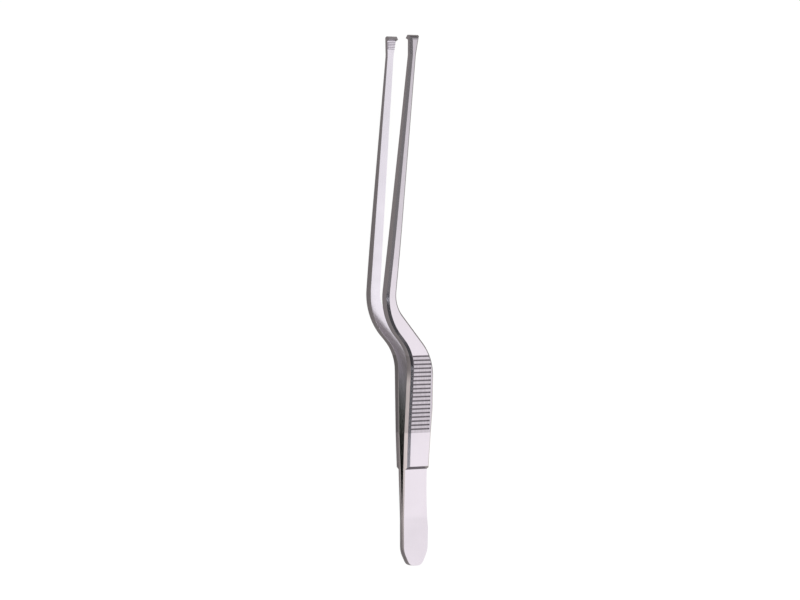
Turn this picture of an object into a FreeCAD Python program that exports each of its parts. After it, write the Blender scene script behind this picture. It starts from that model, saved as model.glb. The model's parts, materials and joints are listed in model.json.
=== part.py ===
import FreeCAD
import Part
import math
import os
import Sketcher
from FreeCAD import Placement, Rotation, Vector

# Offset thumb forceps. Two forged arms are welded face to face at the heel and spring apart.
# X runs from the heel to the jaws, Y to the side that the shank is offset to, and Z across the
# two arms. Each arm is made as in the shop: a plan outline cut through a blank, an inner and an
# outer face cut across it, then the bevels, the grip grooves and the jaw serrations.

SIZES = {
    # Stations along the arm, from the heel
    "arm_length": 200.0,
    "nose_length": 5.5,
    "weld_length": 17.7,
    "spring_end": 36.0,
    "step_station": 36.6,
    "step_run": 1.2,
    "waist_start": 14.0,
    "waist_end": 42.0,
    "belly_station": 60.0,
    "palm_station": 50.0,
    "crook_station": 100.0,
    "grip_end": 86.0,
    "shank_start": 128.0,
    "flare_length": 7.5,
    # Plan outline, as distances from the handle's middle line
    "nose_half_width": 2.6,
    "heel_half_width": 5.35,
    "palm_edge": 5.4,
    "heel_edge": 5.6,
    "waist_edge": 4.6,
    "belly_edge": 5.5,
    "crook_left_station": 80.4,
    "crook_left_edge": 4.75,
    "crook_right_station": 78.8,
    "crook_right_edge": 5.2,
    "shoulder_left_station": 94.5,
    "shoulder_left_edge": 17.7,
    "shoulder_right_station": 98.9,
    "shoulder_right_edge": 12.9,
    "flare_left_edge": 7.0,
    "flare_right_edge": 4.3,
    "jaw_left_edge": 7.1,
    "jaw_right_edge": 2.85,
    # Radii of the plan outline
    "nose_radius": 3.0,
    "heel_radius": 8.0,
    "waist_radius": 190.0,
    "crook_left_radius": 15.8,
    "crook_right_radius": 20.0,
    "shoulder_left_radius": 22.0,
    "shoulder_right_radius": 11.4,
    "flare_radius": 6.0,
    # Inner face, as half of the gap between the arms
    "spring_gap": 0.9,
    "crook_gap": 3.85,
    "jaw_gap": 6.95,
    "handle_bow_radius": 2100.0,
    "shank_bow_radius": 6000.0,
    # Outer face, as thickness where the faces are near parallel and as height past the grip
    "spring_thickness": 1.35,
    "handle_thickness": 3.45,
    "grip_end_height": 7.0,
    "shoulder_rise": 1.55,
    "shank_rise": 0.6,
    "shoulder_bow_radius": 980.0,
    "jaw_bend_run": 2.6,
    "jaw_bend_drop": 1.6,
    "blank_height": 12.0,
    # Jaw lip
    "lip_height": 1.4,
    "lip_length": 1.2,
    "lip_slope": 0.6,
    # Bevels and grip grooves
    "bevel": 0.85,
    "groove_start": 14.2,
    "groove_pitch": 1.53,
    "groove_width": 0.62,
    "groove_depth": 0.3,
    "groove_count": 19,
    "groove_reach": 3.7,
    # Serrations of the jaw, behind its lip
    "serration_start": 0.55,
    "serration_pitch": 0.6,
    "serration_width": 0.36,
    "serration_depth": 0.16,
    "serration_count": 5,
}

OUTSIDE = 2.0

doc = FreeCAD.newDocument("forceps")
sheet = doc.addObject("Spreadsheet::Sheet", "Sizes")
for row, (alias, size) in enumerate(SIZES.items(), start=1):
    sheet.set(f"A{row}", alias)
    sheet.set(f"B{row}", str(size))
    sheet.setAlias(f"B{row}", alias)
doc.recompute()


def formula(text):
    """A sum of names, such as 'jaw_gap - lip_height', as the sheet's expression."""
    words = [f"Sizes.{word}" if word in SIZES else word for word in text.split()]
    return " ".join(words)


def amount(text):
    """The same sum as a number, for the sketch's first drawing."""
    total = 0.0
    sign = 1.0
    for word in text.split():
        if word in ("+", "-"):
            sign = 1.0 if word == "+" else -1.0
        else:
            total += sign * (getattr(sheet, word) if word in SIZES else float(word))
    return float(total)


def plane(body, role):
    for feature in body.Origin.OriginFeatures:
        if feature.Role == role:
            return feature
    raise ValueError(role)


def new_sketch(body, name, role):
    sketch = body.newObject("Sketcher::SketchObject", name)
    sketch.AttachmentSupport = (plane(body, role), [""])
    sketch.MapMode = "FlatFace"
    return sketch


def bind(sketch, constraint, label, text):
    index = sketch.addConstraint(constraint)
    sketch.renameConstraint(index, label)
    sketch.setExpression(f".Constraints.{label}", text)


def bind_point(sketch, line, end, x, y, side, label):
    """Hold one end of a line at two sums of sizes from the origin."""
    across = Sketcher.Constraint("DistanceX", -1, 1, line, end, amount(x))
    bind(sketch, across, f"{label}_x", formula(x))
    up = Sketcher.Constraint("DistanceY", -1, 1, line, end, side * amount(y))
    bind(sketch, up, f"{label}_y", f"{side} * ({formula(y)})")


def draw_outline(sketch, corners, curves, side=1):
    """A closed outline through corners, each a pair of sums of sizes. curves gives, by the
    number of a corner, the radius of the arc that leaves it and the side it bulges to."""
    points = [Vector(amount(x), side * amount(y), 0) for x, y in corners]
    count = len(points)
    ends = []
    for i in range(count):
        start, stop = points[i], points[(i + 1) % count]
        if i not in curves:
            sketch.addGeometry(Part.LineSegment(start, stop), False)
            ends.append((1, 2))
            continue
        radius, bulge = curves[i]
        half = (stop - start).Length / 2
        rise = amount(radius) - math.sqrt(amount(radius) ** 2 - half**2)
        along = (stop - start).normalize()
        middle = (start + stop) / 2 + Vector(-along.y, along.x, 0) * rise * bulge * side
        if bulge * side > 0:
            sketch.addGeometry(Part.Arc(stop, middle, start), False)
            ends.append((2, 1))
        else:
            sketch.addGeometry(Part.Arc(start, middle, stop), False)
            ends.append((1, 2))
    for i in range(count):
        after = (i + 1) % count
        sketch.addConstraint(
            Sketcher.Constraint("Coincident", i, ends[i][1], after, ends[after][0])
        )
    for i, (x, y) in enumerate(corners):
        bind_point(sketch, i, ends[i][0], x, y, side, f"corner{i}")
    for i, (radius, bulge) in curves.items():
        constraint = Sketcher.Constraint("Radius", i, amount(radius))
        bind(sketch, constraint, f"radius{i}", formula(radius))


def upright_edges(shape, places):
    """Names of the edges along Z that stand at the given plan corners."""
    names = []
    for x, y in places:
        near = Vector(amount(x), amount(y), 0)
        found = []
        for number, edge in enumerate(shape.Edges, start=1):
            start, stop = edge.Vertexes[0].Point, edge.Vertexes[-1].Point
            if math.hypot(start.x - stop.x, start.y - stop.y) < 1e-6:
                away = Vector(start.x, start.y, 0).distanceToPoint(near)
                found.append((away, f"Edge{number}"))
        names.append(min(found)[1])
    return names


def bevel_edges(shape, side):
    """Names of the long edges of the outer face, from the step to the jaw's end."""
    start, stop = amount("step_station + step_run"), amount("arm_length - lip_length")
    names = []
    for number, edge in enumerate(shape.Edges, start=1):
        faces = shape.ancestorsOfType(edge, Part.Face)
        middle = edge.valueAt((edge.FirstParameter + edge.LastParameter) / 2)
        if not start < middle.x < stop or len(faces) != 2:
            continue
        outer, upright = False, False
        for face in faces:
            u, v = face.Surface.parameter(middle)
            tilt = face.normalAt(u, v).z * side
            outer = outer or tilt > 0.9
            upright = upright or abs(tilt) < 0.1
        if outer and upright:
            names.append(f"Edge{number}")
    return names


def cut_across(body, name, corners, curves, side):
    """Cut a region of the side view right through the arm."""
    sketch = new_sketch(body, f"{name}_line", "XZ_Plane")
    draw_outline(sketch, corners, curves, side)
    cut = body.newObject("PartDesign::Pocket", name)
    cut.Profile = sketch
    cut.Type = "ThroughAll"
    cut.SideType = "Symmetric"
    doc.recompute()
    return cut


def cut_notches(body, name, side, foot, head, kind, reach=None):
    """A row of V notches across the arm, along the face line that runs from foot to head.
    Each is cut by a square bar laid on edge along the face. With a reach it stops that far
    from the handle's middle line, on the side away from the offset."""
    sketch = new_sketch(body, f"{name}_line", "XZ_Plane")
    base = Vector(amount(foot[0]), side * amount(foot[1]), 0)
    end = Vector(amount(head[0]), side * amount(head[1]), 0)
    along = (end - base).normalize()
    across = Vector(-along.y, along.x, 0)
    half_width = along * (amount(f"{kind}_width") / 2)
    depth = across * amount(f"{kind}_depth")
    middle = base + along * amount(f"{kind}_start")
    points = [middle - half_width, middle - depth, middle + half_width, middle + depth]
    for i in range(4):
        sketch.addGeometry(Part.LineSegment(points[i], points[(i + 1) % 4]), False)
    face = sketch.addGeometry(Part.LineSegment(base, end), True)
    for i in range(4):
        sketch.addConstraint(Sketcher.Constraint("Coincident", i, 2, (i + 1) % 4, 1))
    for i in range(3):
        sketch.addConstraint(Sketcher.Constraint("Equal", i, i + 1))
    for i in (0, 2):
        sketch.addConstraint(Sketcher.Constraint("PointOnObject", i, 1, face))
    bind_point(sketch, face, 1, foot[0], foot[1], side, "foot")
    bind_point(sketch, face, 2, head[0], head[1], side, "head")
    first = amount(f"{kind}_start") - amount(f"{kind}_width") / 2
    from_foot = Sketcher.Constraint("Distance", face, 1, 0, 1, first)
    bind(sketch, from_foot, "first", f"Sizes.{kind}_start - Sizes.{kind}_width / 2")
    wide = Sketcher.Constraint("Distance", 0, 1, 2, 1, amount(f"{kind}_width"))
    bind(sketch, wide, "wide", f"Sizes.{kind}_width")
    deep = Sketcher.Constraint("Distance", 1, 1, 3, 1, 2 * amount(f"{kind}_depth"))
    bind(sketch, deep, "deep", f"2 * Sizes.{kind}_depth")
    cut = body.newObject("PartDesign::Pocket", name)
    cut.Profile = sketch
    cut.Type = "ThroughAll"
    if reach:
        cut.SideType = "Two sides"
        cut.Type2 = "Length"
        cut.setExpression("Length2", f"Sizes.{reach}")
    else:
        cut.SideType = "Symmetric"
    doc.recompute()
    row = body.newObject("PartDesign::LinearPattern", f"{name}_row")
    row.Originals = [cut]
    row.Direction = (sketch, ["Axis0"])
    row.Mode = "Spacing"
    row.setExpression("Offset", f"Sizes.{kind}_pitch")
    row.setExpression("Occurrences", f"Sizes.{kind}_count")
    body.Tip = row
    doc.recompute()


# Plan corners, each with the radius that rounds it, from the nose round the left side
PLAN = [
    ("0", "nose_half_width", "nose_radius"),
    ("nose_length", "heel_half_width", "heel_radius"),
    ("palm_station", "palm_edge", None),
    ("crook_left_station", "crook_left_edge", "crook_left_radius"),
    ("shoulder_left_station", "shoulder_left_edge", "shoulder_left_radius"),
    ("arm_length - flare_length", "flare_left_edge", "flare_radius"),
    ("arm_length", "jaw_left_edge", None),
    ("arm_length", "jaw_right_edge", None),
    ("arm_length - flare_length", "flare_right_edge", "flare_radius"),
    ("shoulder_right_station", "shoulder_right_edge", "shoulder_right_radius"),
    ("crook_right_station", "- crook_right_edge", "crook_right_radius"),
    ("belly_station", "- belly_edge", None),
    ("waist_end", "- waist_edge", None),
    ("waist_start", "- heel_edge", None),
    ("nose_length", "- heel_half_width", "heel_radius"),
    ("0", "- nose_half_width", "nose_radius"),
]
PLAN_CURVES = {12: ("waist_radius", -1)}

GRIP_FOOT = ("step_station + step_run", "spring_gap + handle_thickness")
GRIP_HEAD = ("grip_end", "grip_end_height")
CROOK = ("crook_station", "crook_gap")
LIP_HEEL = ("arm_length - lip_length - lip_slope", "jaw_gap")

FREE_TIP = f"arm_length + {OUTSIDE}"
LIP_FACE = "jaw_gap - lip_height"
INNER = [
    ("weld_length", f"- {OUTSIDE}"),
    ("weld_length", "0"),
    ("spring_end", "spring_gap"),
    CROOK,
    LIP_HEEL,
    ("arm_length - lip_length", LIP_FACE),
    (FREE_TIP, LIP_FACE),
    (FREE_TIP, f"- {OUTSIDE}"),
]
INNER_CURVES = {2: ("handle_bow_radius", 1), 3: ("shank_bow_radius", 1)}

TOP = f"blank_height + {OUTSIDE}"
OUTER = [
    (f"- {OUTSIDE}", "spring_thickness"),
    ("weld_length", "spring_thickness"),
    ("step_station", "spring_gap + spring_thickness"),
    GRIP_FOOT,
    GRIP_HEAD,
    ("shank_start", "grip_end_height + shoulder_rise"),
    ("arm_length", "grip_end_height + shoulder_rise + shank_rise"),
    ("arm_length", TOP),
    (f"- {OUTSIDE}", TOP),
]
OUTER_CURVES = {4: ("shoulder_bow_radius", 1)}

JAW_BEND = [
    ("arm_length - jaw_bend_run", "grip_end_height + shoulder_rise + shank_rise"),
    ("arm_length", "grip_end_height + shoulder_rise + shank_rise - jaw_bend_drop"),
    (FREE_TIP, "grip_end_height + shoulder_rise + shank_rise - jaw_bend_drop"),
    (FREE_TIP, TOP),
    ("arm_length - jaw_bend_run", TOP),
]
JAW_BEND_CURVES = {0: ("jaw_bend_run", 1)}


def make_arm(name, side):
    """One arm. side is 1 for the arm above the weld plane and -1 for its mirror image."""
    body = doc.addObject("PartDesign::Body", name)
    body.Label = name

    plan = new_sketch(body, f"{name}_plan", "XY_Plane")
    draw_outline(plan, [(x, y) for x, y, radius in PLAN], PLAN_CURVES)
    last = body.newObject("PartDesign::Pad", f"{name}_blank")
    last.Profile = plan
    last.setExpression("Length", "Sizes.blank_height")
    last.Reversed = side < 0
    doc.recompute()

    radii = []
    for x, y, radius in PLAN:
        if radius and radius not in radii:
            radii.append(radius)
    for radius in radii:
        places = [(x, y) for x, y, own in PLAN if own == radius]
        rounding = body.newObject("PartDesign::Fillet", f"{name}_{radius}")
        rounding.Base = (last, upright_edges(last.Shape, places))
        rounding.setExpression("Radius", f"Sizes.{radius}")
        doc.recompute()
        last = rounding

    cut_across(body, f"{name}_inner_face", INNER, INNER_CURVES, side)
    last = cut_across(body, f"{name}_outer_face", OUTER, OUTER_CURVES, side)

    bevel = body.newObject("PartDesign::Chamfer", f"{name}_bevel")
    bevel.Base = (last, bevel_edges(last.Shape, side))
    bevel.setExpression("Size", "Sizes.bevel")
    doc.recompute()
    cut_across(body, f"{name}_jaw_bend", JAW_BEND, JAW_BEND_CURVES, side)

    cut_notches(body, f"{name}_groove", side, GRIP_FOOT, GRIP_HEAD, "groove", "groove_reach")
    cut_notches(body, f"{name}_serration", side, LIP_HEEL, CROOK, "serration")
    return body


arms = [make_arm("upper_arm", 1), make_arm("lower_arm", -1)]

# The forceps lies on the flat grip face of its lower arm, with the jaws a little raised. The
# origin is under the middle of its box.
rise = amount("grip_end_height - spring_gap - handle_thickness")
run = amount("grip_end - step_station - step_run")
lying = Rotation(Vector(0, 1, 0), -math.degrees(math.atan2(rise, run)))
for arm in arms:
    arm.Placement = Placement(Vector(0, 0, 0), lying)
doc.recompute()
box = Part.makeCompound([arm.Shape for arm in arms]).optimalBoundingBox(False, False)
for arm in arms:
    arm.Placement = Placement(Vector(-box.Center.x, -box.Center.y, -box.ZMin), lying)
doc.recompute()

for item in doc.Objects:
    if "Invalid" in item.State or "Error" in item.State:
        raise RuntimeError(f"{item.Name} {item.State}")
for arm in arms:
    if arm.Shape.isNull() or not arm.Shape.isValid() or len(arm.Shape.Solids) != 1:
        raise RuntimeError(f"{arm.Label} is not one valid solid")
os.makedirs("parts", exist_ok=True)
for arm in arms:
    arm.Shape.exportStep(f"parts/{arm.Label}.step")
    print(arm.Label, round(arm.Shape.Volume), "mm3", arm.Shape.BoundBox)
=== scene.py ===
import json
import math

import bmesh
import bpy
from mathutils import Matrix, Vector


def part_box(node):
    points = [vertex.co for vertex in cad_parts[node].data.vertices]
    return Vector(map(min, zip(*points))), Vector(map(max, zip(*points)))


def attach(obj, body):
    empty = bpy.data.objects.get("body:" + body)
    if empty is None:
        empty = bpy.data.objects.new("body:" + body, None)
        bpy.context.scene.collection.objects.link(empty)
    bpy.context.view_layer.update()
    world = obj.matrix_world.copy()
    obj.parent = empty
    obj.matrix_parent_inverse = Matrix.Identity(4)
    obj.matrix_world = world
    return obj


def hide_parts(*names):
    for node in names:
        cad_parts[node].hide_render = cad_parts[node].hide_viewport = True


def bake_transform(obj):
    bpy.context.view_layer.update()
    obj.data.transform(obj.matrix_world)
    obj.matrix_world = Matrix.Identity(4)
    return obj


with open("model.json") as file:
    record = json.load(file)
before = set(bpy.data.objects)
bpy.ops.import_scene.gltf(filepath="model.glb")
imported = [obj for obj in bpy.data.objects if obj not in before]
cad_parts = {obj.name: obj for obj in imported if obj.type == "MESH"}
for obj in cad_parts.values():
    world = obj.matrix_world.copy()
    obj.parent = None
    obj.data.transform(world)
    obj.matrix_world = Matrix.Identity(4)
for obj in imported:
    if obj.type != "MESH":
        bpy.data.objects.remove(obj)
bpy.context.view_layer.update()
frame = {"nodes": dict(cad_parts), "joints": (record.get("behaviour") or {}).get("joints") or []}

# The upper arm is one forging of stainless steel from its welded heel to its jaw. It is milled,
# bevelled along its outer face, belt ground lengthwise and brought to a satin finish. Behind the
# grip it is thinned to a leaf that bends when the forceps is squeezed.

heel_edge, weld_front, spring_front, jaw_lip = 0.0056, 0.0177, 0.036, 0.1986
grip_rise, grip_run = 0.00265, 0.0482
arm_tilt = math.atan2(grip_rise, grip_run)
arm_along = Vector((math.cos(arm_tilt), 0, math.sin(arm_tilt)))
arm_across = Vector((-math.sin(arm_tilt), 0, math.cos(arm_tilt)))
arm_origin = Vector(frame["joints"][0]["pos_m"]) - arm_along * weld_front
arm_origin.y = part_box("upper_arm")[0][1] + heel_edge


def on_arm(station, side=0.0, height=0.0):
    """A place given along the arms from the heel, to the offset side and above the weld."""
    return arm_origin + arm_along * station + Vector((0, side, 0)) + arm_across * height


class Term:
    """An output of a shader node. Sums written with it add the Math nodes that work them out."""

    def __init__(self, finish, node, name=0):
        self.finish = finish
        self.node = node
        self.socket = node.outputs[name] if len(node.outputs) else None

    def out(self, name):
        return Term(self.finish, self.node, name)

    def sum(self, operation, first, second):
        return self.finish.node("ShaderNodeMath", {"operation": operation}, {0: first, 1: second})

    def __add__(self, other):
        return self.sum("ADD", self, other)

    def __radd__(self, other):
        return self.sum("ADD", other, self)

    def __sub__(self, other):
        return self.sum("SUBTRACT", self, other)

    def __rsub__(self, other):
        return self.sum("SUBTRACT", other, self)

    def __mul__(self, other):
        return self.sum("MULTIPLY", self, other)

    def __rmul__(self, other):
        return self.sum("MULTIPLY", other, self)

    def __lt__(self, other):
        return self.sum("LESS_THAN", self, other)

    def __gt__(self, other):
        return self.sum("GREATER_THAN", self, other)


class Finish:
    """The shader of a material or of the studio, made node by node."""

    def __init__(self, owner):
        self.owner = owner
        self.owner.use_nodes = True
        self.tree = owner.node_tree
        self.tree.nodes.clear()

    def node(self, kind, settings, sockets):
        made = self.tree.nodes.new(kind)
        for name, setting in settings.items():
            setattr(made, name, setting)
        for name, value in sockets.items():
            if isinstance(value, Term):
                self.tree.links.new(value.socket, made.inputs[name])
            else:
                made.inputs[name].default_value = value
        return Term(self, made)

    def along(self, place, direction):
        return self.node(
            "ShaderNodeVectorMath", {"operation": "DOT_PRODUCT"}, {0: place, 1: direction}
        ).out("Value")

    def ranged(self, value, start, stop, low, high):
        return self.node(
            "ShaderNodeMapRange",
            {"interpolation_type": "SMOOTHSTEP"},
            {"Value": value, "From Min": start, "From Max": stop, "To Min": low, "To Max": high},
        ).out("Result")

    def mixed(self, factor, first, second):
        return self.node(
            "ShaderNodeMix", {"data_type": "RGBA"}, {"Factor": factor, "A": first, "B": second}
        ).out("Result")


def satin_steel():
    """Stainless steel with fine marks along the arm and milled rulings, painted shade on its inner
    faces toward the grip and on the step's ledge, and painted light on the walls of the grip's
    grooves.
    """
    steel = Finish(bpy.data.materials.new("satin_steel"))
    texture = steel.node("ShaderNodeTexCoord", {}, {})
    place = texture.out("Object")
    normal = texture.out("Normal")
    station = steel.along(place, arm_along) - arm_origin.dot(arm_along)
    height = steel.along(place, arm_across) - arm_origin.dot(arm_across)

    # The inner faces, which face the other arm, are darker toward the grip. This is painted shade
    # between the arms. They are lighter along the shank.
    turned_inward, inner_turn, inner_end = -0.0004, 0.05, 0.095
    outer_tone = (0.51, 0.475, 0.505, 1)
    inner_grip_painted_shade, inner_shank_tone = (0.46, 0.47, 0.46, 1), (0.76, 0.72, 0.77, 1)
    inner = (height * steel.along(normal, arm_across)) < turned_inward
    inner_tone_and_painted_shade = steel.mixed(
        steel.ranged(station, inner_turn, inner_end, 0.0, 1.0), inner_grip_painted_shade, inner_shank_tone
    )
    tone = steel.mixed(inner, outer_tone, inner_tone_and_painted_shade)

    # The heel-facing ledge of the step is darkened further down as painted shade.
    ledge_start, ledge_end, facing_heel, square_on = 0.030, 0.032, -0.6, 0.1
    slope = steel.along(normal, arm_along)
    aside = steel.along(normal, (0.0, 1.0, 0.0))
    ledge = (slope < facing_heel) * ((aside * aside) < square_on)
    ledge = ledge * steel.ranged(station, ledge_start, ledge_end, 0.0, 1.0)

    ruled_start, ruled_end, steep = 0.0505, 0.0797, 0.2
    grip = (1.0 - inner) * (ruled_start < station) * (station < ruled_end)
    # The steep walls of the grip's grooves are lightened further down as painted light.
    groove = grip * (steep < slope * slope)

    seam_reach = 0.00000002
    seam = ((height * height) < seam_reach) * (station < weld_front)

    belt_lengthwise, belt_crosswise, belt_detail = 40, 2600, 3.0
    belt = steel.node(
        "ShaderNodeMapping",
        {},
        {
            "Vector": place,
            "Rotation": (0, arm_tilt, 0),
            "Scale": (belt_lengthwise, belt_crosswise, belt_crosswise),
        },
    )
    brushing = steel.node(
        "ShaderNodeTexNoise", {}, {"Vector": belt, "Scale": 1.0, "Detail": belt_detail}
    ).out("Fac")
    cloud_scale, cloud_detail = 90.0, 4.0
    cloud = steel.node(
        "ShaderNodeTexNoise", {}, {"Vector": place, "Scale": cloud_scale, "Detail": cloud_detail}
    ).out("Fac")
    wave_scale, wave_detail = 160.0, 1.0
    wave = steel.node(
        "ShaderNodeTexNoise", {}, {"Vector": place, "Scale": wave_scale, "Detail": wave_detail}
    ).out("Fac")

    cloud_low, cloud_spread = 0.93, 0.14
    ledge_shade, groove_light, seam_shade = 0.5, 0.3, 0.35
    ruled_shade, ruled_streaks = 0.12, 0.32
    # This factor holds the random mottling, the dark weld seam and the milled rulings, and also the
    # painted shade on the ledge and the painted light on the groove walls.
    marks_and_painted_light = cloud_low + cloud_spread * cloud
    marks_and_painted_light = marks_and_painted_light * (1.0 - ledge_shade * ledge + groove_light * groove)
    marks_and_painted_light = marks_and_painted_light * (1.0 - seam_shade * seam)
    marks_and_painted_light = marks_and_painted_light * (1.0 - grip * (ruled_shade + ruled_streaks * brushing))
    steel_colour_with_painted_light = steel.node(
        "ShaderNodeVectorMath", {"operation": "SCALE"}, {0: tone, "Scale": marks_and_painted_light}
    ).out("Vector")

    relief_strength, relief_depth, belt_relief = 0.5, 0.00005, 0.06
    relief = steel.node(
        "ShaderNodeBump",
        {},
        {
            "Strength": relief_strength,
            "Distance": relief_depth,
            "Height": wave + belt_relief * brushing,
        },
    )
    satin, cloud_satin, belt_satin, inner_satin = 0.13, 0.06, 0.04, 0.03
    surface = steel.node(
        "ShaderNodeBsdfPrincipled",
        {},
        {
            "Base Color": steel_colour_with_painted_light,
            "Metallic": 1.0,
            "Roughness": satin + cloud_satin * cloud + belt_satin * brushing + inner_satin * inner,
            "Normal": relief,
        },
    )
    steel.node("ShaderNodeOutputMaterial", {}, {"Surface": surface.out("BSDF")})
    return steel.owner


steel = satin_steel()
edge_break, lip_slope, jaw_end = 0.00008, 0.00125, 0.1995
merge_reach, flat_turn, bend_turn = 0.000001, math.radians(0.2), math.radians(32)
facing_it, beside_it = 0.9, 0.1


def select_edges(piece, wanted):
    """Select the edges of a piece, in edit mode, whose station and faces are wanted."""
    bpy.ops.mesh.select_all(action="DESELECT")
    drawn = bmesh.from_edit_mesh(piece.data)
    for edge in drawn.edges:
        middle = (edge.verts[0].co + edge.verts[1].co) / 2
        station = (middle - arm_origin).dot(arm_along)
        if wanted(station, [face.normal for face in edge.link_faces]):
            edge.select = True
    drawn.select_flush_mode()
    bmesh.update_edit_mesh(piece.data)


def dressed_arm(node, name, inward):
    """A copy of an arm's solid, with its long inner edges broken and the front of its lip sloped."""
    piece = bpy.data.objects.new(name, frame["nodes"][node].data.copy())
    bpy.context.scene.collection.objects.link(piece)
    bpy.ops.object.select_all(action="DESELECT")
    piece.select_set(True)
    bpy.context.view_layer.objects.active = piece
    bpy.ops.mesh.customdata_custom_splitnormals_clear()
    bpy.ops.object.mode_set(mode="EDIT")
    bpy.ops.mesh.select_mode(type="EDGE")
    bpy.ops.mesh.select_all(action="SELECT")
    bpy.ops.mesh.remove_doubles(threshold=merge_reach)
    bpy.ops.mesh.dissolve_limited(angle_limit=flat_turn)

    def long_inner(station, normals):
        tilts = [normal.dot(inward) for normal in normals]
        on_inner_edge = max(tilts) > facing_it and min(map(abs, tilts)) < beside_it
        return weld_front < station < jaw_lip and on_inner_edge

    def lip_front(station, normals):
        meets_end = max(normal.dot(arm_along) for normal in normals) > facing_it
        meets_lip = max(normal.dot(inward) for normal in normals) > facing_it
        return station > jaw_end and meets_end and meets_lip

    select_edges(piece, long_inner)
    bpy.ops.mesh.bevel(offset=edge_break, segments=2, affect="EDGES")
    select_edges(piece, lip_front)
    bpy.ops.mesh.bevel(offset=lip_slope, segments=1, affect="EDGES")
    bpy.ops.object.mode_set(mode="OBJECT")
    piece.data.materials.clear()
    piece.data.materials.append(steel)
    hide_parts(node)
    return piece


def smooth_bends(piece):
    """Shade the bends smoothly, with the flats kept flat and the corners kept sharp."""
    bpy.ops.object.shade_smooth_by_angle(angle=bend_turn)
    flats = piece.modifiers.new("flats", "WEIGHTED_NORMAL")
    flats.keep_sharp = True
    bpy.ops.object.modifier_apply(modifier=flats.name)


upper = dressed_arm("upper_arm", "upper_arm_steel", -arm_across)
bends = 12
bpy.ops.object.mode_set(mode="EDIT")
for bend in range(1, bends):
    station = weld_front + (spring_front - weld_front) * bend / bends
    bpy.ops.mesh.select_all(action="SELECT")
    bpy.ops.mesh.bisect(plane_co=on_arm(station), plane_no=arm_along)
bpy.ops.object.mode_set(mode="OBJECT")
smooth_bends(upper)
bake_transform(upper)

# The lower arm is the mirror image of the upper one, forged and finished in the same way. The two
# are welded face to face at the heel, and this one lies on the flat outer face of its grip.

lower = dressed_arm("lower_arm", "lower_arm_steel", arm_across)
smooth_bends(lower)
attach(lower, "lower")

# The table is matt white paper. It is brighter for the lens than for the steel, so that its edge does
# not show. For the steel its colour is painted light and shade, which the side walls of the arms
# mirror:
# painted light beside the handle, and painted shade under it and beside the shank and the jaws.

table_width = 4.0
bpy.ops.object.select_all(action="DESELECT")
bpy.ops.mesh.primitive_plane_add(size=table_width, location=(0, 0, 0))
floor = bpy.context.object
floor.name = "floor"
paper = Finish(bpy.data.materials.new("white_paper"))
on_table = paper.node("ShaderNodeTexCoord", {}, {}).out("Object")
across = paper.along(on_table, (0, 1, 0))
# These masks set painted shade next to the arms and painted light further out, by place on the table.
near_shade, near_light = 0.001, 0.0045
beside = paper.ranged(across, near_shade, near_light, 0.0, 1.0)
far_light, far_shade, far_share = -0.02, -0.012, 0.5
beyond = paper.ranged(across, far_light, far_shade, far_share, 0.0)
handle_light, handle_end = -0.032, -0.024
behind = paper.ranged(paper.along(on_table, (1, 0, 0)), handle_light, handle_end, 1.0, 0.0)
shaded_paper, lit_paper = (0.25, 0.24, 0.23, 1), (0.97, 0.92, 0.85, 1)
painted_floor_light_and_shade = paper.mixed(behind * (beside + beyond), shaded_paper, lit_paper)
matt = paper.node("ShaderNodeBsdfDiffuse", {}, {"Color": painted_floor_light_and_shade})
white, white_level, white_share = (1.0, 1.0, 1.0, 1), 1.09, 0.9
glow = paper.node("ShaderNodeEmission", {}, {"Color": white, "Strength": white_level})
seen = paper.node("ShaderNodeLightPath", {}, {}).out("Is Camera Ray")
sheet = paper.node("ShaderNodeMixShader", {}, {0: white_share * seen, 1: matt, 2: glow})
paper.node("ShaderNodeOutputMaterial", {}, {"Surface": sheet})
floor.data.materials.append(paper.owner)

# The studio is one broad soft box over the far side of the table, brighter toward the heel, and a
# dark card on the near side, with a narrow white strip, so that the bevels read as dark lines. The
# table has a wide lamp of its own, which the steel does not mirror.

scene = bpy.context.scene
scene.view_settings.view_transform = "Standard"
studio = Finish(bpy.data.worlds.new("studio"))
toward = studio.node("ShaderNodeTexCoord", {}, {}).out("Object")
across_table = studio.along(toward, (0, 1, 0))
heelward = studio.along(toward, (-1, 0, 0))

box_place, box_rim, box_core = (-0.1, -0.551, 0.828), 0.6, 0.9
box_tip, box_heel = -0.05, 0.18
box_soft, box_bright = (0.90, 0.90, 0.92, 1), (1.68, 1.66, 1.7, 1)
soft_box = studio.ranged(studio.along(toward, box_place), box_rim, box_core, 0.0, 1.0)
box_glare = studio.mixed(
    studio.ranged(heelward, box_tip, box_heel, 0.0, 1.0), box_soft, box_bright
)

room_dark_end, room_light_end = -0.85, -0.7
room_dark, room_light = (0.10, 0.10, 0.10, 1), (0.36, 0.36, 0.36, 1)
room = studio.mixed(
    studio.ranged(heelward, room_dark_end, room_light_end, 0.0, 1.0), room_dark, room_light
)
far_glare = studio.mixed(soft_box, room, box_glare)

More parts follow.
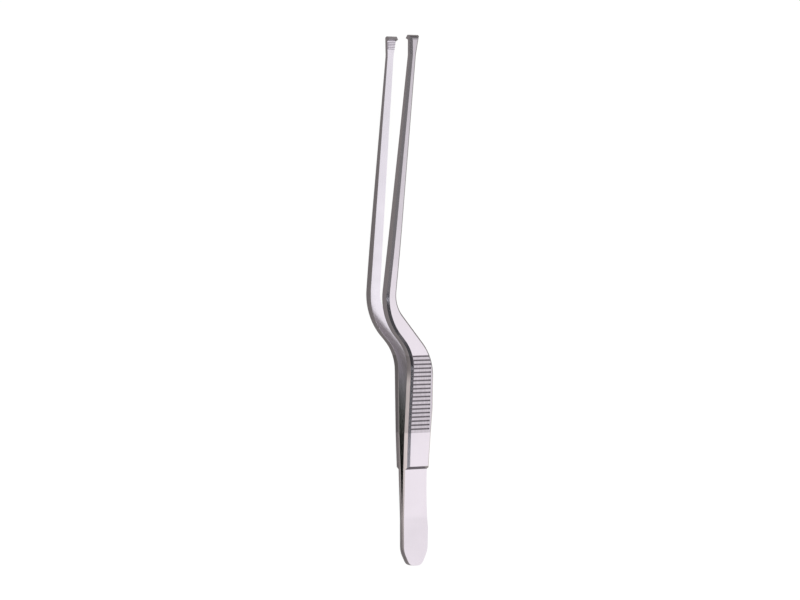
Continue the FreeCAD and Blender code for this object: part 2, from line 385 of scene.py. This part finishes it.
card_tip, card_heel = -0.02, 0.09
card_gray, card_black = (0.33, 0.33, 0.33, 1), (0.11, 0.115, 0.12, 1)
dark_card = studio.mixed(
    studio.ranged(heelward, card_tip, card_heel, 0.0, 1.0), card_gray, card_black
)
strip_rise, strip_full, strip_end = 0.174, 0.1768, 0.2
strip_white = (2.2, 2.3, 2.45, 1)
white_strip = studio.ranged(heelward, strip_rise, strip_full, 0.0, 1.0) * (heelward < strip_end)
card_glare = studio.mixed(white_strip, dark_card, strip_white)

card_foot, card_edge = 0.2, 0.4
glare = studio.mixed(
    studio.ranged(across_table, card_foot, card_edge, 0.0, 1.0), far_glare, card_glare
)
backdrop = studio.node("ShaderNodeBackground", {}, {"Color": glare})
studio.node("ShaderNodeOutputWorld", {}, {"Surface": backdrop})
scene.world = studio.owner

lamp_power, lamp_spread, lamp_lean = 2.9, math.radians(12), math.radians(-18)
table_light = bpy.data.lights.new("table_light", "SUN")
table_light.energy = lamp_power
table_light.angle = lamp_spread
table_lamp = bpy.data.objects.new("table_light", table_light)
table_lamp.rotation_euler = (lamp_lean, 0, 0)
table_lamp.visible_glossy = False
scene.collection.objects.link(table_lamp)

# The camera looks down on the forceps from the side that its shanks are offset to, with the arms
# upright in the picture and the jaws at the top.

view_angle = math.radians(33.62)
view_lean = math.radians(1.477)
view_roll = math.radians(0.087)
view_distance = 1.3
focal_pixels, photo_width, sensor_width = 3450.5, 800, 36.0
aim_station, aim_side, nearest = 0.10057, 0.0061, 0.05
aim = on_arm(aim_station, aim_side)
facing = math.cos(view_angle) * arm_across + Vector((0, math.sin(view_angle), 0))
back = math.cos(view_lean) * facing + math.sin(view_lean) * arm_along
up = math.cos(view_lean) * arm_along - math.sin(view_lean) * facing
right = up.cross(back)
rolled_up = math.cos(view_roll) * up + math.sin(view_roll) * right
rolled_right = math.cos(view_roll) * right - math.sin(view_roll) * up
lens = bpy.data.cameras.new("camera")
lens.sensor_width = sensor_width
lens.lens = focal_pixels / photo_width * sensor_width
lens.clip_start = nearest
camera = bpy.data.objects.new("camera", lens)
camera.matrix_world = Matrix.Translation(aim + view_distance * back) @ Matrix(
    (rolled_right, rolled_up, back)
).transposed().to_4x4()
scene.collection.objects.link(camera)
scene.camera = camera
